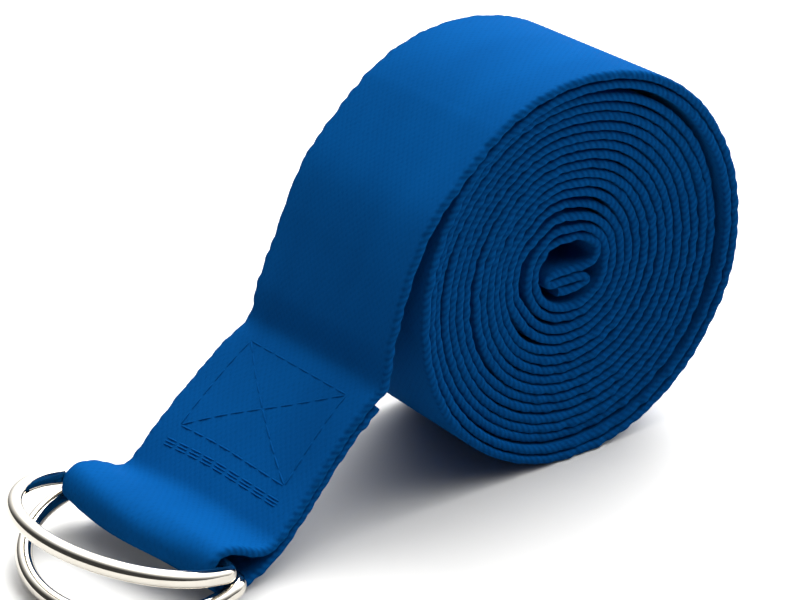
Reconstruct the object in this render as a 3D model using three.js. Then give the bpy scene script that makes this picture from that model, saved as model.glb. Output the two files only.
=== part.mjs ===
// Stretching strap: cotton webbing wound into a roll, with two D-rings sewn into its outer end.
// Millimetres, +Z up. The origin is the middle of the patch that the roll rests on.
// -X points from the roll to the rings, and Y is the roll's axis, across the webbing.

import * as THREE from 'three';
import { mergeVertices } from 'three/addons/utils/BufferGeometryUtils.js';

// Webbing
const WEBBING_WIDTH = 38;
const WEBBING_THICKNESS = 1.7;
const WEBBING_LENGTH = 2440;
const HALF_THICKNESS = WEBBING_THICKNESS / 2;
const GAP = 0.3;

// Roll: the turn number counts inwards from the lift line, where the outer turn leaves the roll
const ROLL_RADIUS = 37.33;
const TURN_PITCH = 1.82;
const STEPS_PER_TURN = 30;
const LIFT_ANGLE = 120;
const LIFT_RISE = 0.4;
const LIFT_CLEARANCE = 0.25;
const SETTLE_FROM_TURN = 0.62;
const LIFT_RISE_TURNS = 0.12;
const FADE_TURNS = 0.1;
const GROOVE_WIDTH = 1.1;
const GROOVE_ANGLE = 30;
const RECESS_OUTER_RADIUS = 35.6;
const RECESS_INNER_RADIUS = 32.4;
const RECESS_FIRST_STEP = 1.2;
const RECESS_FROM_RADIUS = 33;
const RECESS_SLOPE = 0.145;
const ROLL_CENTRE_HEIGHT = ROLL_RADIUS * Math.cos(Math.PI / STEPS_PER_TURN);
const OUTER_MID_RADIUS = ROLL_RADIUS - HALF_THICKNESS;

// Hanging turn, from the lift line down to the crease, along the middle of its thickness
const HANGING_ROUTE = [[-28.3, 61.1], [-34.2, 54.9], [-38.1, 48.0], [-40.8, 41.3], [-43.3, 33.9]];
const CREASE = [-44.9, 27.2];
const BEFORE_LIFT_TURN = -0.012;
const HANGING_STEPS = 14;
const ROUND_START_ANGLES = [-45, -90, -135];
const BENT_WIDTH_STEPS = 6;

// D-rings
const WIRE_DIAMETER = 3;
const WIRE_RADIUS = WIRE_DIAMETER / 2;
const RING_HALF_WIDTH = 21;
const RING_DEPTH = 23;
const RING_SIDE = 4;
const RING_CORNER_RADIUS = 2.2;
const RING_STEPS = 72;
const WIRE_SIDES = 10;
const MERGE_WITHIN = 1e-4;
const UPPER_BAR = [-83.5, 8.1];
const LOWER_BAR = [-81.3, 4.9];
const UPPER_RING_TILT = 16;
const LOWER_RING_TILT = -7.5;

// The sewn end turns and rolls a little on its way from the crease to the rings
const TURN_PIVOT = new THREE.Vector3(-82.4, 0, 6.2);
const END_YAW = 10;
const END_ROLL = 3;
const END_SHIFT = -4.5;
const TURN_FROM_X = -46;
const TURN_TO_X = -72;

// Loop round the ring bars, and the fold-back layer under the outer one
const BAR_CLEARANCE = 0.4;
const LOOP_RADIUS = WIRE_RADIUS + BAR_CLEARANCE + HALF_THICKNESS;
const LOOP_EXIT_ANGLE = -76;
const WRAP_START_ANGLE = 132;
const SLOPE_STEEPNESS = 35.5;
const SLOPE_LENGTH = 31.5;
const RISE_REACH = 5;
const SLOPE_STEPS = 7;
const ARC_STEPS = 6;
const CURVE_STEPS = 6;
const CLOSING_REACH = 4;
const LAYER_PITCH = WEBBING_THICKNESS + GAP;
const LAYERS_MEET_AT = 31;
const FOLD_BACK_END_AT = 3;

// Stitching, measured down the slope from the crease
const THREAD_THICKNESS = 0.35;
const SEAM_WIDTH = 1;
const BOX_FROM = 5;
const BOX_TO = 25;
const BOX_HALF_WIDTH = 14;
const TACK_FROM = 27;
const TACK_TO = 29;
const TACK_HALF_WIDTH = 15;
const SEAM_CELLS = 8;

const webbingCloth = new THREE.MeshStandardMaterial({ color: 0x0a5a9c, roughness: 0.95, metalness: 0 });
const platedSteel = new THREE.MeshStandardMaterial({ color: 0xd8d6cc, roughness: 0.12, metalness: 1 });
const thread = new THREE.MeshStandardMaterial({ color: 0x0b4f8c, roughness: 0.8, metalness: 0 });

const radians = THREE.MathUtils.degToRad;
const smooth = (x, from, to) => THREE.MathUtils.smoothstep(x, from, to);
const point = (x, z) => new THREE.Vector2(x, z);

// ---- Outlines in the XZ plane ----

function lengthOf(route) {
  let total = 0;
  for (let i = 1; i < route.length; i += 1) total += route[i].distanceTo(route[i - 1]);
  return total;
}

function normalAt(route, i) {
  const before = route[Math.max(i - 1, 0)];
  const after = route[Math.min(i + 1, route.length - 1)];
  const along = after.clone().sub(before).normalize();
  return point(-along.y, along.x);
}

// A strip of webbing seen from its edge, with a round start where it turns on a hinge line
function stripShape(route, roundStart) {
  const left = [];
  const right = [];
  route.forEach((p, i) => {
    const side = normalAt(route, i).multiplyScalar(HALF_THICKNESS);
    left.push(p.clone().add(side));
    right.unshift(p.clone().sub(side));
  });
  const outline = [...left, ...right];
  if (roundStart) {
    const side = normalAt(route, 0);
    for (const turn of ROUND_START_ANGLES) {
      const spoke = side.clone().rotateAround(point(0, 0), radians(-turn)).multiplyScalar(HALF_THICKNESS);
      outline.push(route[0].clone().sub(spoke));
    }
  }
  return new THREE.Shape(outline);
}

// Webbing lies across Y: the outline is drawn in XZ and carried across the width
function webbing(shape, widthSteps) {
  const geometry = new THREE.ExtrudeGeometry(shape, {
    depth: WEBBING_WIDTH,
    steps: widthSteps,
    bevelEnabled: false,
  });
  geometry.rotateX(Math.PI / 2);
  geometry.translate(0, WEBBING_WIDTH / 2, 0);
  return geometry;
}

// ---- Roll ----

// How far a turn stays off the next one in, beyond the thickness of the webbing
function turnClearance(turn) {
  const angle = radians(LIFT_ANGLE - 360 * turn - GROOVE_ANGLE);
  const aroundGroove = (0.5 + 0.5 * Math.cos(angle)) ** 2;
  const grooveFade = smooth(turn, 1, 1 + FADE_TURNS) * (1 - smooth(turn, 2 - FADE_TURNS, 2));
  const nearLift = 1 - smooth(turn, 0, 2 * FADE_TURNS);
  return LIFT_CLEARANCE * nearLift + GROOVE_WIDTH * aroundGroove * grooveFade;
}

function turnRadius(turn) {
  if (turn > 1) return turnRadius(turn - 1) - TURN_PITCH - turnClearance(turn - 1);
  const settle = TURN_PITCH + LIFT_CLEARANCE - LIFT_RISE;
  return OUTER_MID_RADIUS + LIFT_RISE * (1 - smooth(turn, 0, LIFT_RISE_TURNS))
    - settle * smooth(turn, SETTLE_FROM_TURN, 1);
}

function rollPoint(turn) {
  const angle = radians(LIFT_ANGLE - 360 * turn);
  const radius = turnRadius(turn);
  return point(radius * Math.cos(angle), ROLL_CENTRE_HEIGHT + radius * Math.sin(angle));
}

// From the cut beside the lift line inwards, until the given length of webbing is wound up
function woundRoute(length) {
  const cutTurn = (HALF_THICKNESS + GAP) / (2 * Math.PI * turnRadius(0));
  const route = [rollPoint(cutTurn)];
  for (let step = 1; lengthOf(route) < length; step += 1) {
    route.push(rollPoint(step / STEPS_PER_TURN));
  }
  return route;
}

// The roll is a little telescoped: the nearer a turn is to the core, the further back it lies
function recessAt(radius) {
  const firstStep = RECESS_FIRST_STEP * (1 - smooth(radius, RECESS_INNER_RADIUS, RECESS_OUTER_RADIUS));
  return firstStep + RECESS_SLOPE * Math.max(RECESS_FROM_RADIUS - radius, 0);
}

function telescope(geometry) {
  const position = geometry.getAttribute('position');
  for (let i = 0; i < position.count; i += 1) {
    const radius = Math.hypot(position.getX(i), position.getZ(i) - ROLL_CENTRE_HEIGHT);
    position.setY(i, position.getY(i) + recessAt(radius));
  }
  geometry.computeVertexNormals();
  return geometry;
}

// ---- Hanging turn ----

function hangingRoute() {
  const lift = rollPoint(0);
  const onRoll = rollPoint(BEFORE_LIFT_TURN);
  const knots = [lift, onRoll, ...HANGING_ROUTE.map(([x, z]) => point(x, z)), point(...CREASE)];
  const spline = new THREE.SplineCurve(knots);
  const whole = spline.getSpacedPoints(HANGING_STEPS);
  const last = whole[whole.length - 1];
  const back = whole[whole.length - 2].clone().sub(last).setLength(HALF_THICKNESS + GAP);
  whole[whole.length - 1] = last.clone().add(back);
  return whole;
}

// ---- Sewn end: its route is worked out along the slope (u) and square to it (v) ----

const crease = point(...CREASE);
const upperBar = point(...UPPER_BAR);
const lowerBar = point(...LOWER_BAR);
const slope = point(-Math.cos(radians(SLOPE_STEEPNESS)), -Math.sin(radians(SLOPE_STEEPNESS)));
const slopeUp = point(slope.y, -slope.x);

function onSlope(u, v) {
  return crease.clone().addScaledVector(slope, u).addScaledVector(slopeUp, v);
}

function slopeCoordinates(p) {
  const from = p.clone().sub(crease);
  return point(from.dot(slope), from.dot(slopeUp));
}

function arc(centre, radius, fromDegrees, toDegrees, steps) {
  const points = [];
  for (let i = 0; i <= steps; i += 1) {
    const angle = radians(fromDegrees + (toDegrees - fromDegrees) * (i / steps));
    points.push(point(centre.x + radius * Math.cos(angle), centre.y + radius * Math.sin(angle)));
  }
  return points;
}

function straight(from, to, steps) {
  return Array.from({ length: steps }, (_, i) => from.clone().lerp(to, i / steps));
}

// The heading of a route that goes clockwise round a bar, at the given angle round it
function headingAt(angle) {
  return point(Math.sin(radians(angle)), -Math.cos(radians(angle)));
}

function curveBetween(from, fromHeading, to, toHeading, reach) {
  const leave = from.clone().addScaledVector(fromHeading, reach);
  const arrive = to.clone().addScaledVector(toHeading, -reach);
  return new THREE.CubicBezierCurve(from, leave, arrive, to).getPoints(CURVE_STEPS).slice(1);
}

// Straight down the slope, up and round both bars, and back under the slope
function sewnRoute() {
  const upper = slopeCoordinates(upperBar);
  const lower = slopeCoordinates(lowerBar);
  const between = lower.clone().sub(upper);
  const frontAngle = THREE.MathUtils.radToDeg(Math.atan2(between.x, -between.y));
  const overUpper = arc(upper, LOOP_RADIUS, WRAP_START_ANGLE, frontAngle, ARC_STEPS);
  const underLower = arc(lower, LOOP_RADIUS, frontAngle, LOOP_EXIT_ANGLE, ARC_STEPS);
  const downSlope = point(1, 0);
  const slopeEnd = point(SLOPE_LENGTH, 0);
  const meet = point(LAYERS_MEET_AT, -LAYER_PITCH);
  const end = point(FOLD_BACK_END_AT, -LAYER_PITCH);
  const exit = underLower[underLower.length - 1];
  const toBar = curveBetween(slopeEnd, downSlope, overUpper[0], headingAt(WRAP_START_ANGLE), RISE_REACH);
  const upSlope = downSlope.clone().negate();
  const closing = curveBetween(exit, headingAt(LOOP_EXIT_ANGLE), meet, upSlope, CLOSING_REACH);
  const route = [
    ...straight(point(0, 0), slopeEnd, SLOPE_STEPS),
    slopeEnd,
    ...toBar,
    ...overUpper.slice(1),
    ...underLower,
    ...closing,
    ...straight(meet, end, SLOPE_STEPS).slice(1),
    end,
  ];
  return route.map((p) => onSlope(p.x, p.y));
}

// ---- The turn of the sewn end ----

const endRotation = new THREE.Quaternion().setFromEuler(
  new THREE.Euler(radians(END_ROLL), 0, radians(END_YAW), 'ZXY'),
);

function turnPoint(p) {
  const turned = p.clone().sub(TURN_PIVOT).applyQuaternion(endRotation).add(TURN_PIVOT);
  turned.y += END_SHIFT;
  return p.lerp(turned, smooth(-p.x, -TURN_FROM_X, -TURN_TO_X));
}

function turnGeometry(geometry) {
  const position = geometry.getAttribute('position');
  const p = new THREE.Vector3();
  for (let i = 0; i < position.count; i += 1) {
    turnPoint(p.fromBufferAttribute(position, i));
    position.setXYZ(i, p.x, p.y, p.z);
  }
  geometry.computeVertexNormals();
  return geometry;
}

// ---- D-rings ----

// The wire's centre line: a straight bar, two round corners, short sides and a half-ellipse bow
function ringOutline() {
  const bow = RING_DEPTH - RING_SIDE;
  const inner = RING_HALF_WIDTH - RING_CORNER_RADIUS;
  const path = new THREE.Path();
  path.moveTo(0, -inner);
  path.lineTo(0, inner);
  path.absarc(RING_CORNER_RADIUS, inner, RING_CORNER_RADIUS, Math.PI, Math.PI / 2, true);
  path.lineTo(RING_SIDE, RING_HALF_WIDTH);
  path.absellipse(RING_SIDE, 0, bow, RING_HALF_WIDTH, Math.PI / 2, -Math.PI / 2, true);
  path.lineTo(RING_CORNER_RADIUS, -RING_HALF_WIDTH);
  path.absarc(RING_CORNER_RADIUS, -inner, RING_CORNER_RADIUS, -Math.PI / 2, -Math.PI, true);
  return path.getSpacedPoints(RING_STEPS).slice(0, -1);
}

class RingLine extends THREE.Curve {
  constructor() {
    super();
    this.outline = ringOutline();
  }

  getPoint(t, target = new THREE.Vector3()) {
    const count = this.outline.length;
    const place = (t * count) % count;
    const from = this.outline[Math.floor(place)];
    const to = this.outline[(Math.floor(place) + 1) % count];
    const at = from.clone().lerp(to, place - Math.floor(place));
    return target.set(-at.x, at.y, 0);
  }

  getPointAt(t, target) {
    return this.getPoint(t, target);
  }
}

function ringGeometry() {
  const line = new RingLine();
  const tube = new THREE.TubeGeometry(line, line.outline.length, WIRE_RADIUS, WIRE_SIDES, true);
  tube.deleteAttribute('normal');
  tube.deleteAttribute('uv');
  const closed = mergeVertices(tube, MERGE_WITHIN);
  closed.computeVertexNormals();
  return closed;
}

// ---- Stitching ----

// Long strips are cut into short cells, so that the thread follows the turned cloth
function strip(from, to, farFrom, farTo) {
  const cells = [];
  for (let i = 0; i < SEAM_CELLS; i += 1) {
    const [near, next] = [i / SEAM_CELLS, (i + 1) / SEAM_CELLS];
    cells.push([
      from.clone().lerp(to, near),
      from.clone().lerp(to, next),
      farFrom.clone().lerp(farTo, next),
      farFrom.clone().lerp(farTo, near),
    ]);
  }
  return cells;
}

function rectangle(from, to, halfWidth) {
  return [point(from, -halfWidth), point(to, -halfWidth), point(to, halfWidth), point(from, halfWidth)];
}

// The open triangle beside one line of the square: both ends of its base, then its tip
function openTriangle(from, to, centre) {
  const middle = from.clone().lerp(to, 0.5);
  const inwards = centre.clone().sub(middle).normalize();
  const along = to.clone().sub(from).normalize();
  const halfBase = from.distanceTo(to) / 2;
  const height = centre.distanceTo(middle);
  const lean = Math.hypot(halfBase, height);
  const baseCut = (SEAM_WIDTH / 2) * (lean / height);
  const tipCut = (SEAM_WIDTH / 2) * (lean / halfBase);
  return [
    middle.clone().addScaledVector(along, -halfBase + baseCut),
    middle.clone().addScaledVector(along, halfBase - baseCut),
    middle.clone().addScaledVector(inwards, height - tipCut),
  ];
}

// A square seam with a cross inside: four triangles are left open between its lines
function boxCells() {
  const outer = rectangle(BOX_FROM, BOX_TO, BOX_HALF_WIDTH);
  const inner = rectangle(BOX_FROM + SEAM_WIDTH, BOX_TO - SEAM_WIDTH, BOX_HALF_WIDTH - SEAM_WIDTH);
  const centre = point((BOX_FROM + BOX_TO) / 2, 0);
  const open = inner.map((from, i) => openTriangle(from, inner[(i + 1) % inner.length], centre));
  const cells = [open.map((triangle) => triangle[2])];
  outer.forEach((corner, i) => {
    const [baseFrom, baseTo, tip] = open[i];
    const [, lastBaseTo, lastTip] = open[(i + outer.length - 1) % outer.length];
    cells.push([corner, baseFrom, lastBaseTo]);
    cells.push(...strip(corner, outer[(i + 1) % outer.length], baseFrom, baseTo));
    cells.push(...strip(baseFrom, tip, lastBaseTo, lastTip));
  });
  return cells;
}

function tackCells() {
  const [nearRight, farRight, farLeft, nearLeft] = rectangle(TACK_FROM, TACK_TO, TACK_HALF_WIDTH);
  return strip(farRight, farLeft, nearRight, nearLeft);
}

// Cells that share edges become one closed plate, with walls where an edge has no neighbour
function plate(cells, thickness) {
  const positions = [];
  const triangle = (...corners) => corners.forEach((corner) => positions.push(...corner));
  const name = (from, to) => [from.x, from.y, to.x, to.y].map((value) => value.toFixed(3) * 1).join();
  const edges = new Set();
  cells.forEach((cell) => cell.forEach((from, i) => edges.add(name(from, cell[(i + 1) % cell.length]))));
  cells.forEach((cell) => {
    const under = cell.map((corner) => [corner.x, corner.y, 0]);
    const top = cell.map((corner) => [corner.x, corner.y, thickness]);
    for (let i = 1; i < cell.length - 1; i += 1) {
      triangle(top[0], top[i], top[i + 1]);
      triangle(under[0], under[i + 1], under[i]);
    }
    cell.forEach((from, i) => {
      const next = (i + 1) % cell.length;
      if (!edges.has(name(cell[next], from))) {
        triangle(under[i], under[next], top[next]);
        triangle(under[i], top[next], top[i]);
      }
    });
  });
  const geometry = new THREE.BufferGeometry();
  geometry.setAttribute('position', new THREE.Float32BufferAttribute(positions, 3));
  return geometry;
}

// The seam is drawn along the slope and across it, and lies just off one face of the layers
function seam(cells, faceOffset) {
  const u = new THREE.Vector3(slope.x, 0, slope.y);
  const across = new THREE.Vector3(0, -1, 0);
  const up = new THREE.Vector3().crossVectors(u, across);
  const start = onSlope(0, 0).addScaledVector(slopeUp, faceOffset);
  const basis = new THREE.Matrix4().makeBasis(u, across, up).setPosition(start.x, 0, start.y);
  return turnGeometry(plate(cells, THREAD_THICKNESS).applyMatrix4(basis));
}

// ---- Assembly ----

const part = new THREE.Group();

function add(name, geometry, material, parent = part) {
  const mesh = new THREE.Mesh(geometry, material);
  mesh.name = name;
  parent.add(mesh);
  return mesh;
}

const hanging = hangingRoute();
const sewn = sewnRoute();
const wound = woundRoute(WEBBING_LENGTH - lengthOf(hanging) - lengthOf(sewn));

add('wound_webbing', telescope(webbing(stripShape(wound, false), 1)), webbingCloth);
add('hanging_webbing', webbing(stripShape(hanging, true), BENT_WIDTH_STEPS), webbingCloth);
add('sewn_webbing_loop', turnGeometry(webbing(stripShape(sewn, true), BENT_WIDTH_STEPS)), webbingCloth);

const topFace = HALF_THICKNESS + GAP;
const underFace = -LAYER_PITCH - HALF_THICKNESS - GAP - THREAD_THICKNESS;
add('box_stitch_top', seam(boxCells(), topFace), thread);
add('box_stitch_under', seam(boxCells(), underFace), thread);
add('bar_tack_top', seam(tackCells(), topFace), thread);
add('bar_tack_under', seam(tackCells(), underFace), thread);

const ringFrame = new THREE.Group();
ringFrame.position.copy(TURN_PIVOT).add(new THREE.Vector3(0, END_SHIFT, 0));
ringFrame.quaternion.copy(endRotation);
part.add(ringFrame);

for (const [name, bar, tilt] of [
  ['upper_d_ring', UPPER_BAR, UPPER_RING_TILT],
  ['lower_d_ring', LOWER_BAR, LOWER_RING_TILT],
]) {
  const ring = add(name, ringGeometry(), platedSteel, ringFrame);
  ring.position.set(bar[0] - TURN_PIVOT.x, 0, bar[1] - TURN_PIVOT.z);
  ring.rotation.y = radians(tilt);
}

export default part;
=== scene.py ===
"""Stretching strap: a rolled length of cotton webbing with two D-rings sewn into its outer end.

The webbing is one long strip. Its centre line is laid out once, from the cut end under the sewn layers,
round the ring bars, up to the roll and in to the core, and its pieces are consecutive stretches of it.
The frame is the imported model's. A length with MM in it is in metres. The routes seen from the side, and
places on the slope, are bare numbers in millimetres until they are turned into metres. Angles that are
named values are in degrees.
"""

import math

import bpy
import numpy as np
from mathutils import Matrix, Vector


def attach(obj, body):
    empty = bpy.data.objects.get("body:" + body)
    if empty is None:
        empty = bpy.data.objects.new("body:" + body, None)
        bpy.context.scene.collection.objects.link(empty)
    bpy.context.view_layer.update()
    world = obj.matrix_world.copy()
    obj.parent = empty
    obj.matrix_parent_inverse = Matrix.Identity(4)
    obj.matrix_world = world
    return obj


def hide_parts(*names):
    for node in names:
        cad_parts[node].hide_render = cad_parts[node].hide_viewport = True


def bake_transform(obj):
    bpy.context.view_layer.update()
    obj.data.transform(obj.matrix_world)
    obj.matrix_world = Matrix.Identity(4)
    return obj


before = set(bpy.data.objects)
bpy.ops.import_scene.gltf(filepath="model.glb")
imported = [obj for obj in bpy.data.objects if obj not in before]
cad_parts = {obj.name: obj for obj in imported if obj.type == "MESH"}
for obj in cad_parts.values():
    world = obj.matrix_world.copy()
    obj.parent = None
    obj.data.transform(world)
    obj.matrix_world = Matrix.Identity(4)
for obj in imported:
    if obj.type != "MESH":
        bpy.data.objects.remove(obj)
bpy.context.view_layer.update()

MM = 0.001

# ---- Sizes and places ----

# They repeat the CAD model's, apart from three. The webbing is 1.6 mm thick here and 1.7 mm there, the sewn
# layers are 1.75 mm apart here and 2 mm there, and the CAD model's edges aren't rounded.

WIDTH = 38.0 * MM
HALF_WIDTH = WIDTH / 2
HALF_THICKNESS = 0.8 * MM
EDGE_ROUNDING = 0.62 * MM

OUTER_MID_RADIUS = 36.48 * MM
ROLL_CENTRE_HEIGHT = 37.33 * MM * math.cos(math.radians(6))
TURN_PITCH = 1.82 * MM
LIFT_ANGLE = 120.0
LIFT_RISE = 0.4 * MM
LIFT_CLEARANCE = 0.25 * MM
SETTLE_FROM_TURN = 0.62
GROOVE_WIDTH = 1.1 * MM
GROOVE_ANGLE = 30.0

HANGING_ROUTE = [(-28.3, 61.1), (-34.2, 54.9), (-38.1, 48.0), (-40.8, 41.3), (-43.3, 33.9)]
CREASE = (-44.9, 27.2)
UPPER_BAR = (-83.5, 8.1)
LOWER_BAR = (-81.3, 4.9)
LOOP_RADIUS = 2.75
LOOP_EXIT_ANGLE = -76
WRAP_START_ANGLE = 132
SLOPE_STEEPNESS = 35.5
SLOPE_LENGTH = 31.5
RISE_REACH = 5
CLOSING_REACH = 4
LAYER_PITCH = 1.75
LAYERS_MEET_AT = 31
FOLD_BACK_END_AT = 3

TURN_PIVOT = np.array([-82.4, 0.0, 6.2]) * MM
END_YAW = 10.0
END_ROLL = 3.0
END_SHIFT = -4.5 * MM
TURN_FROM_X = -46.0 * MM
TURN_TO_X = -72.0 * MM

WIRE_RADIUS = 1.5 * MM
RING_HALF_WIDTH = 21.0 * MM
RING_DEPTH = 23.0 * MM
RING_SIDE = 4.0 * MM
RING_CORNER_RADIUS = 2.2 * MM
UPPER_RING_TILT = 16.0
LOWER_RING_TILT = -7.5


def smooth(x, start, end):
    """0 before start, 1 after end and an even S between them."""
    t = np.clip((np.asarray(x, float) - start) / (end - start), 0, 1)
    return t * t * (3 - 2 * t)


def ripple(x, seed, wavelength, octaves=4):
    """A smooth uneven wave of about 1 in height, the same each time for one seed."""
    random = np.random.default_rng(seed)
    total = np.zeros_like(np.asarray(x, float))
    for _ in range(octaves):
        length = wavelength * random.uniform(0.6, 1.7)
        total = total + np.sin(2 * np.pi * (x / length + random.uniform()))
    return total / math.sqrt(octaves)


# ---- The roll: how far each turn lies from the roll's centre ----

STEPS_PER_TURN = 720
LAST_ROUND_TURN = 15.833
BEFORE_LIFT_TURN = -0.012
CLOSEST_TURNS = 2 * HALF_THICKNESS + 0.03 * MM
OVAL_FROM_TURN = 12.0
OVAL_TURN = 15.33
LOOSE_TURNS = (
    # (turn that lies just outside the gap, angle, half-angle, outward push, inward push)
    (7, 185.0, 62.0, 0.55 * MM, 0.45 * MM),
    (12, 221.0, 32.0, 0.5 * MM, 0.1 * MM),
    (14, 175.0, 46.0, 1.9 * MM, 0.0),
)


def turn_clearance(turn):
    angle = np.radians(LIFT_ANGLE - 360 * turn - GROOVE_ANGLE)
    around_groove = (0.5 + 0.5 * np.cos(angle)) ** 2
    groove_fade = smooth(turn, 1, 1.1) * (1 - smooth(turn, 1.9, 2))
    return LIFT_CLEARANCE * (1 - smooth(turn, 0, 0.2)) + GROOVE_WIDTH * around_groove * groove_fade


def even_radius(turn):
    """The radius of the webbing's middle when every turn lies evenly on the next."""
    first = np.where(turn > 1, turn % 1.0, turn)
    whole = np.round(turn - first).astype(int)
    settle = TURN_PITCH + LIFT_CLEARANCE - LIFT_RISE
    radius = OUTER_MID_RADIUS + LIFT_RISE * (1 - smooth(first, 0, 0.12))
    radius = radius - settle * smooth(first, SETTLE_FROM_TURN, 1)
    for k in range(int(whole.max())):
        radius = radius - np.where(whole > k, TURN_PITCH + turn_clearance(first + k), 0)
    return radius


def oval_radius(angle):
    """The core's outline: wide, a little flat on top and heavier underneath."""
    return (7.65 + 0.9 * np.cos(angle) - 0.9 * np.sin(angle) + 0.55 * np.cos(2 * angle)) * MM


def roll_radii(turns):
    angle = np.radians(LIFT_ANGLE - 360 * turns)
    radius = even_radius(turns)
    oval = smooth(turns, OVAL_FROM_TURN, OVAL_TURN)
    core_radius = even_radius(np.array([OVAL_TURN]))[0]
    radius = radius + (oval_radius(angle) - core_radius) * oval
    for outside, middle, half, outward, inward in LOOSE_TURNS:
        off = (LIFT_ANGLE - 360 * turns - middle + 180) % 360 - 180
        bump = np.where(np.abs(off) < half, 0.5 + 0.5 * np.cos(np.pi * off / half), 0)
        passing = np.round(turns - (LIFT_ANGLE - middle) / 360)
        steps_out = np.maximum(outside - passing, 0)
        steps_in = np.maximum(passing - outside - 1, 0)
        push = np.where(passing <= outside, outward * 0.62**steps_out, -inward * 0.62**steps_in)
        radius = radius + push * bump
    slack = 0.07 * MM * ripple(turns, 5, 0.9) + 0.05 * MM * ripple(turns, 6, 0.31)
    radius = radius + slack * smooth(turns, 1.2, 2.2)
    floor_gap = ROLL_CENTRE_HEIGHT - HALF_THICKNESS - 0.05 * MM
    down = np.maximum(-np.sin(angle), 0.05)
    radius = np.where(turns < 1, np.minimum(radius, floor_gap / down), radius)
    for i in range(STEPS_PER_TURN, len(turns)):
        radius[i] = min(radius[i], radius[i - STEPS_PER_TURN] - CLOSEST_TURNS)
    return radius


RECESS_FIRST_STEP = 1.2 * MM
RECESS_INNER_RADIUS = 32.4 * MM
RECESS_OUTER_RADIUS = 35.6 * MM
RECESS_FROM_RADIUS = 33.0 * MM
RECESS_SLOPE = 0.145


def recess(x, z):
    """The roll is a little telescoped: its inner turns lie further back the nearer they are to the core."""
    radius = np.hypot(x, z - ROLL_CENTRE_HEIGHT)
    first_step = RECESS_FIRST_STEP * (1 - smooth(radius, RECESS_INNER_RADIUS, RECESS_OUTER_RADIUS))
    return first_step + RECESS_SLOPE * np.maximum(RECESS_FROM_RADIUS - radius, 0)


# ---- The centre line of the whole webbing, seen from the side: rows of (x, z) ----

# The folded inner end, from the last full turn inwards: over the core's hole, round its right end, and
# back and forth under it. In millimetres from the roll's centre.
CORE_FOLDS = [
    (-5.95, 2.2), (-3.7, 3.85), (0.5, 4.35), (4.6, 3.75), (7.1, 1.6), (6.6, -0.85), (4.1, -1.95),
    (0.0, -2.1), (-3.1, -2.1), (-4.05, -2.5), (-4.25, -3.1), (-3.95, -3.6), (-3.1, -3.8), (0.0, -3.9),
    (3.4, -3.75), (4.35, -4.05), (4.6, -4.6), (4.2, -5.15), (3.2, -5.4), (0.2, -5.75), (-2.1, -5.45),
]


def spline(points, spacing):
    """An even Catmull-Rom curve through the points."""
    points = [np.array(p, float) for p in points]
    padded = [2 * points[0] - points[1]] + points + [2 * points[-1] - points[-2]]
    curve = []
    for a, b, c, d in zip(padded, padded[1:], padded[2:], padded[3:]):
        knots = [0.0]
        for p, q in ((a, b), (b, c), (c, d)):
            knots.append(knots[-1] + max(np.linalg.norm(q - p), 1e-9) ** 0.5)
        for t in np.linspace(knots[1], knots[2], 24, endpoint=False):
            ab = a + (b - a) * (t - knots[0]) / (knots[1] - knots[0])
            bc = b + (c - b) * (t - knots[1]) / (knots[2] - knots[1])
            cd = c + (d - c) * (t - knots[2]) / (knots[3] - knots[2])
            abc = ab + (bc - ab) * (t - knots[0]) / (knots[2] - knots[0])
            bcd = bc + (cd - bc) * (t - knots[1]) / (knots[3] - knots[1])
            curve.append(abc + (bcd - abc) * (t - knots[1]) / (knots[2] - knots[1]))
    curve.append(points[-1])
    return evenly(np.array(curve), spacing)


def lengths_along(line):
    steps = np.linalg.norm(np.diff(line, axis=0), axis=1)
    return np.concatenate([[0], np.cumsum(steps)])


def evenly(line, spacing):
    along = lengths_along(line)
    wanted = np.linspace(0, along[-1], max(int(round(along[-1] / spacing)), 2) + 1)
    return np.column_stack([np.interp(wanted, along, line[:, k]) for k in range(line.shape[1])])


def polar(turns, radii):
    angle = np.radians(LIFT_ANGLE - 360 * turns)
    return np.column_stack([radii * np.cos(angle), ROLL_CENTRE_HEIGHT + radii * np.sin(angle)])


def slope_frame():
    steep = math.radians(SLOPE_STEEPNESS)
    along = np.array([-math.cos(steep), -math.sin(steep)])
    return np.array(CREASE), along, np.array([along[1], -along[0]])


def on_slope(u, v):
    """The point u along the slope from the crease and v above it, from millimetres to metres."""
    crease, along, up = slope_frame()
    return (crease + along * u + up * v) * MM


def slope_place(p):
    crease, along, up = slope_frame()
    off = np.array(p) - crease
    return np.array([off @ along, off @ up])


def arc(centre, radius, first, last, steps):
    angles = np.radians(np.linspace(first, last, steps))
    return [centre + radius * np.array([math.cos(a), math.sin(a)]) for a in angles]


def heading_at(degrees):
    """The heading of a route that goes clockwise round a bar, at the given angle round it."""
    angle = math.radians(degrees)
    return np.array([math.sin(angle), -math.cos(angle)])


def curve_between(start, start_heading, end, end_heading, reach):
    leave, arrive = start + reach * start_heading, end - reach * end_heading
    curve = []
    for t in np.linspace(0, 1, 30)[1:]:
        near_start = (1 - t) ** 3 * start + 3 * t * (1 - t) ** 2 * leave
        curve.append(near_start + 3 * t * t * (1 - t) * arrive + t**3 * end)
    return curve


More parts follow.
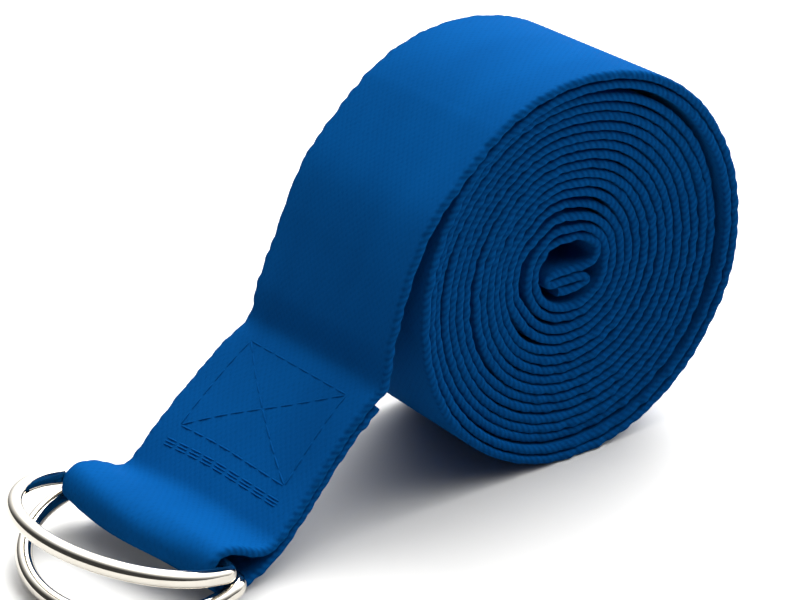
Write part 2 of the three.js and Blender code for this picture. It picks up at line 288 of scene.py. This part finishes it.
def sewn_line():
    """From the foot of the slope over and round both bars and back under the slope, in slope places."""
    upper, lower = slope_place(UPPER_BAR), slope_place(LOWER_BAR)
    between = lower - upper
    front = math.degrees(math.atan2(between[0], -between[1]))
    over_upper = arc(upper, LOOP_RADIUS, WRAP_START_ANGLE, front, 24)
    under_lower = arc(lower, LOOP_RADIUS, front, LOOP_EXIT_ANGLE, 20)
    down_slope = np.array([1.0, 0.0])
    slope_end = np.array([SLOPE_LENGTH, 0.0])
    meet = np.array([LAYERS_MEET_AT, -LAYER_PITCH])
    to_bar = curve_between(slope_end, down_slope, over_upper[0], heading_at(WRAP_START_ANGLE), RISE_REACH)
    closing = curve_between(under_lower[-1], heading_at(LOOP_EXIT_ANGLE), meet, -down_slope, CLOSING_REACH)
    end = np.array([FOLD_BACK_END_AT, -LAYER_PITCH])
    return [slope_end] + to_bar + over_upper[1:] + under_lower + closing + [end]


def whole_line():
    """The webbing's middle, from the cut end under the slope to the one in the core.

    Returns the line, the length at each of its points, the length where it meets the roll, and the roll's
    turns with the length at each of them."""
    fine = 0.2 * MM
    back_of_slope = np.array([on_slope(*p) for p in sewn_line()])[::-1]
    turns = np.arange(0, LAST_ROUND_TURN, 1 / STEPS_PER_TURN)
    rolled = polar(turns, roll_radii(turns))
    before_lift = np.array([BEFORE_LIFT_TURN])
    route = [np.array(p) * MM for p in HANGING_ROUTE + [CREASE]]
    down_slope = [on_slope(4.5, 0), on_slope(7, 0)]
    knots = [rolled[0], polar(before_lift, even_radius(before_lift))[0]] + route + down_slope
    hanging = spline(knots, fine)[::-1]
    folds = [np.array([x, z + ROLL_CENTRE_HEIGHT / MM]) * MM for x, z in CORE_FOLDS]
    core = spline([rolled[-40], rolled[-1]] + folds, fine)
    past_rolled = lengths_along(rolled[-40:])[-1]
    core = core[lengths_along(core) > past_rolled]
    parts = [evenly(np.vstack([back_of_slope, hanging[0]]), fine), hanging[1:], rolled[1:], core]
    line = np.vstack(parts)
    along = lengths_along(line)
    counts = np.cumsum([len(p) for p in parts])
    lift_at = along[counts[1] - 1]
    rolled_at = along[counts[1] - 1 : counts[2]]
    return line, along, lift_at, np.concatenate([[0], turns[1:]]), rolled_at


line, along, lift_at, line_turns, line_turns_at = whole_line()
total_length = along[-1]
hang_middle_at = lift_at - 24 * MM
crease_at = lift_at - 50 * MM


def length_at_turn(turn):
    return float(np.interp(turn, line_turns, line_turns_at))


def placed(name, data):
    """A new object in the scene."""
    made = bpy.data.objects.new(name, data)
    bpy.context.scene.collection.objects.link(made)
    return made


def rounded_piece(name, vertices, faces, paint):
    """A new smoothly shaded object of one material."""
    mesh = bpy.data.meshes.new(name)
    mesh.from_pydata([tuple(v) for v in vertices], [], faces)
    mesh.polygons.foreach_set("use_smooth", [True] * len(faces))
    mesh.materials.append(paint)
    return placed(name, mesh)


# ---- The webbing's surface ----

BEAD_PITCH = 2.8 * MM
CREASE_SKEW = 1.3 * MM
NEAR_EDGE_SAG = 1.1 * MM
LOOP_BULGE = 1.7 * MM
LOOP_DROP = 0.7 * MM
FAR_EDGE_SAG = 0.9 * MM
DIP_DEPTH = 0.6 * MM
SLOPE_UNEVENNESS = 0.3 * MM
RIB_PITCH = 1.56 * MM
WARP_PITCH = 1.3 * MM
WEAVE_HEIGHT = 0.045 * MM


def turned_fully(points):
    """The sewn end's whole turn about a point between the bars, and its shift sideways."""
    yaw, roll = math.radians(END_YAW), math.radians(END_ROLL)
    cos_yaw, sin_yaw = math.cos(yaw), math.sin(yaw)
    cos_roll, sin_roll = math.cos(roll), math.sin(roll)
    about_z = np.array([[cos_yaw, -sin_yaw, 0], [sin_yaw, cos_yaw, 0], [0, 0, 1]])
    about_x = np.array([[1, 0, 0], [0, cos_roll, -sin_roll], [0, sin_roll, cos_roll]])
    moved = (points - TURN_PIVOT) @ (about_z @ about_x).T + TURN_PIVOT
    moved[..., 1] += END_SHIFT
    return moved


def turned(points):
    """The sewn end's turn, growing from the crease to the rings."""
    share = smooth(-points[..., 0], -TURN_FROM_X, -TURN_TO_X)[..., None]
    return points + (turned_fully(points) - points) * share


def settled(points):
    """How the soft loose end lies: askew at its crease, uneven, its edges sagging and its loop bulging."""
    x, y, z = points[..., 0], points[..., 1], points[..., 2]
    out = points.copy()
    about_crease = (1 - smooth(z, 27 * MM, 46 * MM)) * (1 - smooth(-x, 50 * MM, 74 * MM))
    out[..., 0] -= (0.5 + y / HALF_WIDTH) * CREASE_SKEW * about_crease

    down_slope = smooth(-x, 46 * MM, 62 * MM) * (1 - smooth(-x, 70 * MM, 80 * MM))
    unevenness = np.sin(x / (5.2 * MM)) * np.sin(y / (7.5 * MM))
    out[..., 2] -= NEAR_EDGE_SAG * down_slope * smooth(-y, -10 * MM, 22 * MM)
    out[..., 2] += SLOPE_UNEVENNESS * unevenness * down_slope
    far_slope = smooth(-x, 50 * MM, 60 * MM) * (1 - smooth(-x, 76 * MM, 84 * MM))
    out[..., 2] -= FAR_EDGE_SAG * far_slope * smooth(y, -2 * MM, 18 * MM)
    dip = np.exp(-(((x + 76 * MM) / (5 * MM)) ** 2)) * smooth(z, 5.5 * MM, 8.5 * MM)
    out[..., 2] -= DIP_DEPTH * dip * smooth(y, -4 * MM, 14 * MM)

    middle = np.cos(np.clip((y + 5 * MM) / HALF_WIDTH, -1, 1) * math.pi / 2)
    out[..., 0] -= LOOP_BULGE * middle * smooth(-x, 82 * MM, 86 * MM)
    foremost = smooth(-x, 86.5 * MM, 89.5 * MM) * smooth(z, 1.5 * MM, 4 * MM)
    out[..., 2] -= LOOP_DROP * middle * foremost
    return out


def webbing_point(at, y):
    """Points in the middle of the webbing's thickness, at a length along it and a place y across it."""
    at, y = np.broadcast_arrays(at, y)
    x = np.interp(at, along, line[:, 0])
    z = np.interp(at, along, line[:, 1])
    wound = smooth(at, lift_at, lift_at + 3 * MM)
    drift = 0.16 * MM * ripple(at, 11, 75 * MM) + 0.07 * MM * ripple(at, 12, 23 * MM)
    points = np.stack([x, y + wound * (recess(x, z) + drift), z], axis=-1)
    return np.where((at < lift_at)[..., None], settled(turned(points)), points)


def beads(at):
    """The weft's loops along the webbing's edge, 0 between them and about 1 on them."""
    phase = at / BEAD_PITCH + 0.28 * ripple(at, 21, 17 * MM)
    height = np.abs(np.sin(np.pi * phase)) ** 0.8
    return height * (0.8 + 0.2 * ripple(at, 22, 9 * MM))


def across_places(spacing):
    """Places across the webbing, from edge to edge, closer together in the rounded edges."""
    flat = HALF_WIDTH - EDGE_ROUNDING
    middle = np.linspace(-flat, flat, max(int(round(2 * flat / spacing)), 3) + 1)
    bend = np.sin(np.radians([18, 38, 60, 90]))
    right = flat + EDGE_ROUNDING * bend
    return np.concatenate([-right[::-1], middle, right])


def upwards(at, y):
    """The direction out of the webbing's outer face, at the given places."""
    step = 0.05 * MM
    ahead = webbing_point(at + step, y) - webbing_point(at - step, y)
    aside = webbing_point(at, y + step) - webbing_point(at, y - step)
    normal = np.cross(ahead, aside)
    return normal / np.linalg.norm(normal, axis=-1, keepdims=True)


def end_faces(ring, width):
    """Faces that close one end: the ring runs over the top face and back along the underside."""
    upper = ring[:width]
    lower = np.concatenate([ring[:1], ring[: width - 2 : -1]])
    faces = []
    for k in range(width - 1):
        corners = [upper[k], upper[k + 1], lower[k + 1], lower[k]]
        faces.append([corner for i, corner in enumerate(corners) if corner not in corners[:i]])
    return faces


def webbing(name, first, last, spacing, across_spacing, relief):
    """One stretch of the webbing as a closed mesh with rounded, beaded edges, from first to last along it.

    relief is how high the weave stands on the two faces."""
    stations = np.linspace(first, last, max(int(round((last - first) / spacing)), 2) + 1)
    across = across_places(across_spacing)
    edge = np.clip((np.abs(across) - (HALF_WIDTH - EDGE_ROUNDING)) / EDGE_ROUNDING, 0, 1)
    bead = beads(stations)
    stand_out = 0.14 * MM * (bead - 0.5) + 0.12 * MM * ripple(stations, 23, 4.6 * MM)
    reach = smooth(np.abs(across), HALF_WIDTH - 1.8 * MM, HALF_WIDTH)
    y = across + np.sign(across) * stand_out[:, None] * reach
    middle = webbing_point(stations[:, None], y)
    normal = upwards(stations[:, None], y)

    half = HALF_THICKNESS * np.sqrt(1 - edge**2) + np.zeros_like(y)
    half *= 1 + (0.17 * (bead[:, None] - 0.5) - 0.04) * reach
    ribs = np.cos(2 * np.pi * stations / RIB_PITCH)
    ends = np.cos(2 * np.pi * across / WARP_PITCH)
    inside_edge = 1 - smooth(np.abs(across), HALF_WIDTH - 1.6 * MM, HALF_WIDTH - 0.6 * MM)
    weave = relief * ribs[:, None] * ends * inside_edge
    swell = 0.02 * MM * ripple(stations, 31, 26 * MM)[:, None] * np.cos(np.pi * across / WIDTH)
    top = middle + normal * (half + weave + swell)[..., None]
    under = middle - normal * (half + weave - swell)[..., None]

    rings = np.concatenate([top, under[:, -2:0:-1]], axis=1)
    count, around = rings.shape[:2]
    width = len(across)
    places = np.arange(count * around).reshape(count, around)
    next_round = np.roll(places, -1, axis=1)
    quads = np.stack([places[:-1], places[1:], next_round[1:], next_round[:-1]], axis=-1).reshape(-1, 4)
    caps = end_faces(places[0], width) + [face[::-1] for face in end_faces(places[-1], width)]
    mesh = bpy.data.meshes.new(name)
    mesh.from_pydata(rings.reshape(-1, 3).tolist(), [], quads.tolist() + caps)
    mesh.validate()

    cloth = np.empty((count, around, 3), np.float32)
    cloth[..., 0] = stations[:, None] / MM
    cloth[..., 1] = np.concatenate([across, across[-2:0:-1]]) / MM
    cloth[..., 2] = np.concatenate([half[0], -half[0][-2:0:-1]]) / MM
    mesh.attributes.new("cloth", "FLOAT_VECTOR", "POINT").data.foreach_set("vector", cloth.reshape(-1))

    rounded = np.arange(len(mesh.polygons)) < len(quads)
    mesh.polygons.foreach_set("use_smooth", rounded)
    cap_edges = set()
    for face in mesh.polygons[len(quads):]:
        cap_edges.update(tuple(sorted(pair)) for pair in face.edge_keys)
    sharp = [tuple(sorted(e.vertices)) in cap_edges for e in mesh.edges]
    mesh.attributes.new("sharp_edge", "BOOLEAN", "EDGE").data.foreach_set("value", sharp)
    return placed(name, mesh)


# ---- Materials ----


def material(name):
    """A material with only a Principled shader and its output: the material, nodes, links and shader."""
    made = bpy.data.materials.new(name)
    made.use_nodes = True
    nodes = made.node_tree.nodes
    nodes.clear()
    output = nodes.new("ShaderNodeOutputMaterial")
    shader = nodes.new("ShaderNodeBsdfPrincipled")
    made.node_tree.links.new(shader.outputs["BSDF"], output.inputs["Surface"])
    return made, nodes, made.node_tree.links, shader


def value_of(nodes, links, operation, *inputs):
    """A Math node. Each input is a socket or a number."""
    node = nodes.new("ShaderNodeMath")
    node.operation = operation
    for place, given in enumerate(inputs):
        if isinstance(given, (int, float)):
            node.inputs[place].default_value = given
        else:
            links.new(given, node.inputs[place])
    return node.outputs[0]


def mixed(nodes, links, share, a, b):
    """A colour Mix node. a and b are sockets or colours."""
    node = nodes.new("ShaderNodeMix")
    node.data_type = "RGBA"
    links.new(share, node.inputs["Factor"])
    for socket, given in ((node.inputs[6], a), (node.inputs[7], b)):
        if isinstance(given, tuple):
            socket.default_value = (*given, 1)
        else:
            links.new(given, socket)
    return node.outputs[2]


def noise(nodes, links, vector, scale, detail=3.0, roughness=0.55):
    node = nodes.new("ShaderNodeTexNoise")
    node.inputs["Scale"].default_value = scale
    node.inputs["Detail"].default_value = detail
    node.inputs["Roughness"].default_value = roughness
    links.new(vector, node.inputs["Vector"])
    return node.outputs["Fac"]


def stretched(nodes, links, vector, scale):
    node = nodes.new("ShaderNodeMapping")
    node.inputs["Scale"].default_value = scale
    links.new(vector, node.inputs["Vector"])
    return node.outputs["Vector"]


def ranged(nodes, links, given, start, end, at_start, at_end, interpolation="LINEAR"):
    """A Map Range node: at_start where the input is start, and at_end where it is end."""
    node = nodes.new("ShaderNodeMapRange")
    node.interpolation_type = interpolation
    node.inputs["From Min"].default_value = start
    node.inputs["From Max"].default_value = end
    node.inputs["To Min"].default_value = at_start
    node.inputs["To Max"].default_value = at_end
    links.new(given, node.inputs["Value"])
    return node.outputs[0]


def wave(nodes, links, place, pitch):
    """An even wave along place, which is in millimetres like its pitch."""
    angle = value_of(nodes, links, "MULTIPLY", place, 2 * math.pi / pitch)
    return value_of(nodes, links, "COSINE", angle)


def bump_on(nodes, links, shader, height, strength, distance):
    node = nodes.new("ShaderNodeBump")
    node.inputs["Strength"].default_value = strength
    node.inputs["Distance"].default_value = distance
    links.new(height, node.inputs["Height"])
    links.new(node.outputs["Normal"], shader.inputs["Normal"])


CLOTH_LIGHT = (0.0014, 0.064, 0.232)
CLOTH_MID = (0.0010, 0.041, 0.156)
# Painted shade: the colour laid into the weave's hollows and between the selvedge's loops
CLOTH_PAINTED_SHADE = (0.0004, 0.022, 0.088)
COTTON_SPECULAR = 0.004
SELVEDGE = (17.6, 18.7)  # millimetres from the middle, where it begins and where it is full
NICKEL_DULL = (0.56, 0.52, 0.45)
NICKEL_BRIGHT = (0.72, 0.69, 0.63)


def webbing_material():
    """Woven cotton. The cloth attribute holds the length along, the place across and the depth, in mm."""
    made, nodes, links, shader = material("cotton_webbing")
    read = nodes.new("ShaderNodeAttribute")
    read.attribute_name = "cloth"
    place = read.outputs["Vector"]
    split = nodes.new("ShaderNodeSeparateXYZ")
    links.new(place, split.inputs[0])
    lengthways, sideways, depth = split.outputs["X"], split.outputs["Y"], split.outputs["Z"]

    wobble = noise(nodes, links, place, 0.35, 2)
    warp = value_of(nodes, links, "MULTIPLY_ADD", wobble, 0.5, sideways)
    weft = value_of(nodes, links, "MULTIPLY_ADD", wobble, 0.6, lengthways)
    ribs = wave(nodes, links, weft, RIB_PITCH / MM)
    ends = wave(nodes, links, warp, WARP_PITCH / MM)
    checks = value_of(nodes, links, "MULTIPLY", ribs, ends)
    yarns = noise(nodes, links, stretched(nodes, links, place, (1.2, 6.0, 3.0)), 1.0, 3)
    fibres = noise(nodes, links, place, 7.0, 4, 0.7)
    weave = value_of(nodes, links, "MULTIPLY_ADD", checks, 0.25, yarns)
    relief = value_of(nodes, links, "MULTIPLY_ADD", fibres, 0.5, weave)

    cloudy = noise(nodes, links, stretched(nodes, links, place, (0.02, 0.05, 0.05)), 1.0, 3)
    shade = mixed(nodes, links, cloudy, CLOTH_MID, CLOTH_LIGHT)
    # Painted shade: the low places of the weave relief are coloured darker
    weave_painted_shade = ranged(nodes, links, relief, 0.2, 0.75, 0.42, 0.0)
    colour = mixed(nodes, links, weave_painted_shade, shade, CLOTH_PAINTED_SHADE)

    # The selvedge: the weft turns back around the last warp ends, and painted shade darkens the hollows
    # between its loops
    from_middle = value_of(nodes, links, "ABSOLUTE", sideways)
    at_edge = ranged(nodes, links, from_middle, *SELVEDGE, 0.0, 1.0, "SMOOTHSTEP")
    slanted = value_of(nodes, links, "MULTIPLY_ADD", depth, 0.9, weft)
    loops = wave(nodes, links, slanted, BEAD_PITCH / MM / 2)
    between_loops_painted_shade = ranged(nodes, links, loops, -0.9, 0.7, 0.55, 0.0)
    selvedge_painted_shade = value_of(nodes, links, "MULTIPLY", between_loops_painted_shade, at_edge)
    links.new(mixed(nodes, links, selvedge_painted_shade, colour, CLOTH_PAINTED_SHADE), shader.inputs["Base Color"])

    links.new(ranged(nodes, links, fibres, 0.0, 1.0, 0.72, 0.95), shader.inputs["Roughness"])
    bump_on(nodes, links, shader, relief, 0.35, 0.12 * MM)
    shader.inputs["Specular IOR Level"].default_value = COTTON_SPECULAR
    shader.inputs["Sheen Weight"].default_value = 0.06
    shader.inputs["Sheen Roughness"].default_value = 0.4
    shader.inputs["Sheen Tint"].default_value = (0.0, 0.45, 1.0, 1)
    return made


def thread_material():
    made, nodes, links, shader = material("sewing_thread")
    place = nodes.new("ShaderNodeTexCoord").outputs["Object"]
    strands = noise(nodes, links, place, 2600.0, 2)
    links.new(mixed(nodes, links, strands, CLOTH_MID, CLOTH_LIGHT), shader.inputs["Base Color"])
    links.new(ranged(nodes, links, strands, 0.0, 1.0, 0.7, 0.9), shader.inputs["Roughness"])
    bump_on(nodes, links, shader, strands, 0.4, 0.05 * MM)
    shader.inputs["Specular IOR Level"].default_value = COTTON_SPECULAR
    return made


def nickel_material():
    """Bright plating, a little hazy, with fine scuffs."""
    made, nodes, links, shader = material("bright_nickel")
    place = nodes.new("ShaderNodeTexCoord").outputs["Object"]
    haze = noise(nodes, links, place, 160.0, 4)
    scuffs = noise(nodes, links, stretched(nodes, links, place, (300.0, 1500.0, 300.0)), 1.0, 3)
    links.new(mixed(nodes, links, haze, NICKEL_DULL, NICKEL_BRIGHT), shader.inputs["Base Color"])
    worn = value_of(nodes, links, "MULTIPLY", haze, scuffs)
    links.new(ranged(nodes, links, worn, 0.15, 0.5, 0.06, 0.17), shader.inputs["Roughness"])
    bump_on(nodes, links, shader, scuffs, 0.05, 0.05 * MM)
    shader.inputs["Metallic"].default_value = 1.0
    return made


cotton = webbing_material()
thread = thread_material()
nickel = nickel_material()


# ---- The webbing's four stretches ----

under_roll_at = length_at_turn(0.6)
second_end_at = length_at_turn(2.0)

sewn_end = webbing("strap_sewn_end", 0.0, hang_middle_at, 0.4 * MM, 0.42 * MM, WEAVE_HEIGHT)
top_turn = webbing("strap_top_turn", hang_middle_at, under_roll_at, 0.42 * MM, 0.42 * MM, WEAVE_HEIGHT)
second_turn = webbing("strap_second_turn", under_roll_at, second_end_at, 0.52 * MM, 0.52 * MM, WEAVE_HEIGHT)
inner_turns = webbing("strap_inner_turns", second_end_at, total_length, 0.46 * MM, 18 * MM, 0.0)

stretches = (
    (sewn_end, hang_middle_at, "floor"),
    (top_turn, under_roll_at - hang_middle_at, "strap_second_turn"),
    (second_turn, second_end_at - under_roll_at, "strap_inner_turns"),
    (inner_turns, total_length - second_end_at, "strap_second_turn"),
)
for piece, length, rests_on in stretches:
    piece.data.materials.append(cotton)
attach(second_turn, "roll")
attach(inner_turns, "roll")
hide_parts("wound_webbing")
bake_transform(top_turn)
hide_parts("hanging_webbing")
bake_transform(sewn_end)
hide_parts("sewn_webbing_loop")


# ---- Stitching ----

THREAD_RADIUS = 0.2 * MM
STITCH_LENGTH = 2.9 * MM
STITCH_GAP = 0.35 * MM
STITCH_STEPS = 8
STITCH_SIDES = 8


def tube_faces(base, rings, around, closed):
    """Faces of a tube whose rings follow each other from vertex base. A closed tube returns to its start."""
    faces = []
    for i in range(rings if closed else rings - 1):
        this, following = base + i * around, base + (i + 1) % rings * around
        for j in range(around):
            n = (j + 1) % around
            faces.append([this + j, this + n, following + n, following + j])
    return faces


def stitch(start, end):
    """The vertices of one stitch, as rings round an arch that dips into the cloth at both ends.

    start and end are (length along the webbing, place across it)."""
    shares = np.linspace(0, 1, STITCH_STEPS + 1)
    arch = np.sin(np.pi * shares) ** 0.5
    places = start + (end - start) * shares[:, None]
    at, y = places[:, :1], places[:, 1:]
    normals = upwards(at, y)[:, 0]
    heights = HALF_THICKNESS + THREAD_RADIUS * (0.5 * arch - 0.6)
    centres = webbing_point(at, y)[:, 0] + normals * heights[:, None]
    angles = 2 * np.pi * np.arange(STITCH_SIDES) / STITCH_SIDES
    vertices = []
    for i, (centre, normal) in enumerate(zip(centres, normals)):
        tangent = centres[min(i + 1, STITCH_STEPS)] - centres[max(i - 1, 0)]
        across = np.cross(tangent / np.linalg.norm(tangent), normal)
        size = THREAD_RADIUS * (0.62 + 0.38 * arch[i])
        for a in angles:
            vertices.append(centre + size * (math.cos(a) * across + math.sin(a) * normal))
    return vertices


def stitch_rows(name, rows, node):
    """Stitches in rows in the webbing's outer face. A row is its start and end, as stitch() takes them."""
    vertices, faces = [], []
    for start, end in rows:
        start, end = np.array(start), np.array(end)
        long = np.linalg.norm(end - start)
        heading = (end - start) / long
        count = max(int(round(long / (STITCH_LENGTH + STITCH_GAP))), 1)
        pitch = long / count
        for k in range(count):
            base = len(vertices)
            first = start + heading * (k * pitch + STITCH_GAP / 2)
            vertices += stitch(first, first + heading * (pitch - STITCH_GAP))
            faces += tube_faces(base, STITCH_STEPS + 1, STITCH_SIDES, False)
            faces.append(list(range(base, base + STITCH_SIDES))[::-1])
            faces.append(list(range(len(vertices) - STITCH_SIDES, len(vertices))))
    made = rounded_piece(name, vertices, faces, thread)
    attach(made, "sewn_end")
    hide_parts(node)


def on_top(u):
    """The length along the webbing of the place u millimetres down the slope from the crease."""
    return crease_at - u * MM


def on_underside(u):
    """The same place in the layer that is folded back under the slope."""
    return (u - FOLD_BACK_END_AT) * MM


def box_rows(place):
    """A square and the cross inside it."""
    near, far, half = place(5.5), place(24.5), 13.5 * MM
    corners = [(near, -half), (far, -half), (far, half), (near, half)]
    outline = [(corners[i], corners[(i + 1) % 4]) for i in range(4)]
    return outline + [(corners[0], corners[2]), (corners[1], corners[3])]


def tack_rows(place):
    half = 14.6 * MM
    return [((place(u), -half), (place(u), half)) for u in (27.4, 28.0, 28.6)]


stitch_rows("box_seam_top", box_rows(on_top), "box_stitch_top")
stitch_rows("box_seam_under", box_rows(on_underside), "box_stitch_under")
stitch_rows("bar_tack_seam_top", tack_rows(on_top), "bar_tack_top")
stitch_rows("bar_tack_seam_under", tack_rows(on_underside), "bar_tack_under")


# ---- D-rings ----

RING_STEPS = 300
RING_SIDES = 36
WELD_HEIGHT = 0.07 * MM
WELD_HALF_WIDTH = 0.9 * MM


def ring_outline(steps):
    """The wire's centre line as rows of (forward, sideways): a bar, two round corners, sides and a bow."""
    inner = RING_HALF_WIDTH - RING_CORNER_RADIUS
    bow = RING_DEPTH - RING_SIDE
    corner = np.radians(np.linspace(180, 90, 12))
    half = [(0.0, 0.0), (0.0, inner)]
    for a in corner[1:]:
        half.append((RING_CORNER_RADIUS * (1 + math.cos(a)), inner + RING_CORNER_RADIUS * math.sin(a)))
    for a in np.radians(np.linspace(90, 0, 60)):
        half.append((RING_SIDE + bow * math.cos(a), RING_HALF_WIDTH * math.sin(a)))
    half = np.array(half)
    other = half[::-1][1:] * np.array([1, -1])
    return evenly(np.vstack([half, other]), 2 * lengths_along(half)[-1] / steps)[:-1]


def d_ring(name, bar, tilt, body, node):
    """Round wire along the outline, tipped by tilt degrees about its bar, with a weld bead on the bar."""
    outline = ring_outline(RING_STEPS)
    count = len(outline)
    tilt = math.radians(tilt)
    forward = -outline[:, 0]
    tipped = np.column_stack([forward * math.cos(tilt), outline[:, 1], -forward * math.sin(tilt)])
    centre = turned_fully(tipped + np.array([bar[0], 0, bar[1]]) * MM)
    flat_normal = np.array([math.sin(tilt), 0.0, math.cos(tilt)]) * MM
    normal = turned_fully(TURN_PIVOT + flat_normal) - turned_fully(TURN_PIVOT)
    normal /= np.linalg.norm(normal)
    angles = 2 * np.pi * np.arange(RING_SIDES) / RING_SIDES
    vertices = []
    for i in range(count):
        tangent = centre[(i + 1) % count] - centre[i - 1]
        across = np.cross(tangent, normal)
        across /= np.linalg.norm(across)
        on_bar = outline[i, 0] < 0.1 * MM
        bead = WELD_HEIGHT * math.exp(-((outline[i, 1] / WELD_HALF_WIDTH) ** 2)) if on_bar else 0.0
        for a in angles:
            vertices.append(centre[i] + (WIRE_RADIUS + bead) * (math.cos(a) * across + math.sin(a) * normal))
    made = rounded_piece(name, vertices, tube_faces(0, count, RING_SIDES, True), nickel)
    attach(made, body)
    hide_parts(node)


d_ring("ring_upper", UPPER_BAR, UPPER_RING_TILT, "upper_ring", "upper_d_ring")
d_ring("ring_lower", LOWER_BAR, LOWER_RING_TILT, "lower_ring", "lower_d_ring")


# ---- Floor, light and camera ----

FLOOR_HALF_WIDTH = 8.0
FLOOR_SHADES = ((0.58, 0.578, 0.57), (0.61, 0.607, 0.60))
LIGHT_PLACE = (0.62, 0.42, 1.4)
LIGHT_AIM = (-0.02, 0.0, 0.03)
LIGHT_SIZE = 1.4
LIGHT_POWER = 22.0
LIGHT_COLOUR = (1.0, 0.99, 0.97)
SKY_BRIGHTEST = (0.55, 0.26, 0.79)
SKY_FALLOFF = 3.0
SKY_ZENITH = 6.8
SKY_HORIZON = 0.06
CAMERA_PLACE = (-0.2565, -0.3123, 0.2160)
CAMERA_AIM = (-0.0202, 0.0097, 0.0264)


def point_at(thing, place, aim):
    thing.location = place
    thing.rotation_euler = (Vector(aim) - Vector(place)).to_track_quat("-Z", "Y").to_euler()


def floor():
    half = FLOOR_HALF_WIDTH
    mesh = bpy.data.meshes.new("floor")
    corners = [(-half, -half, 0), (half, -half, 0), (half, half, 0), (-half, half, 0)]
    mesh.from_pydata(corners, [], [(0, 1, 2, 3)])
    paint, nodes, links, shader = material("pale_floor")
    place = nodes.new("ShaderNodeTexCoord").outputs["Object"]
    grain = noise(nodes, links, place, 40.0, 3)
    links.new(mixed(nodes, links, grain, *FLOOR_SHADES), shader.inputs["Base Color"])
    shader.inputs["Roughness"].default_value = 0.6
    shader.inputs["Specular IOR Level"].default_value = 0.3
    mesh.materials.append(paint)
    placed("floor", mesh)


def key_light():
    data = bpy.data.lights.new("key", "AREA")
    data.shape = "DISK"
    data.size = LIGHT_SIZE
    data.energy = LIGHT_POWER
    data.color = LIGHT_COLOUR
    point_at(placed("key", data), LIGHT_PLACE, LIGHT_AIM)


def studio_world():
    """A soft light, brightest high up behind the object, that fades away from there."""
    made = bpy.data.worlds.new("studio")
    made.use_nodes = True
    nodes, links = made.node_tree.nodes, made.node_tree.links
    facing = nodes.new("ShaderNodeVectorMath")
    facing.operation = "DOT_PRODUCT"
    facing.inputs[1].default_value = SKY_BRIGHTEST
    links.new(nodes.new("ShaderNodeTexCoord").outputs["Generated"], facing.inputs[0])
    up = value_of(nodes, links, "MAXIMUM", facing.outputs["Value"], 0.0)
    fading = value_of(nodes, links, "POWER", up, SKY_FALLOFF)
    strength = value_of(nodes, links, "MULTIPLY_ADD", fading, SKY_ZENITH, SKY_HORIZON)
    nodes["Background"].inputs["Color"].default_value = (1.0, 1.0, 1.0, 1)
    links.new(strength, nodes["Background"].inputs["Strength"])
    return made


def studio_camera():
    data = bpy.data.cameras.new("camera")
    data.lens = 108
    data.sensor_width = 36
    data.clip_start = 0.01
    made = placed("camera", data)
    point_at(made, CAMERA_PLACE, CAMERA_AIM)
    return made


floor()
key_light()
scene = bpy.context.scene
scene.view_settings.view_transform = "Standard"
scene.view_settings.look = "None"
scene.world = studio_world()
scene.camera = studio_camera()
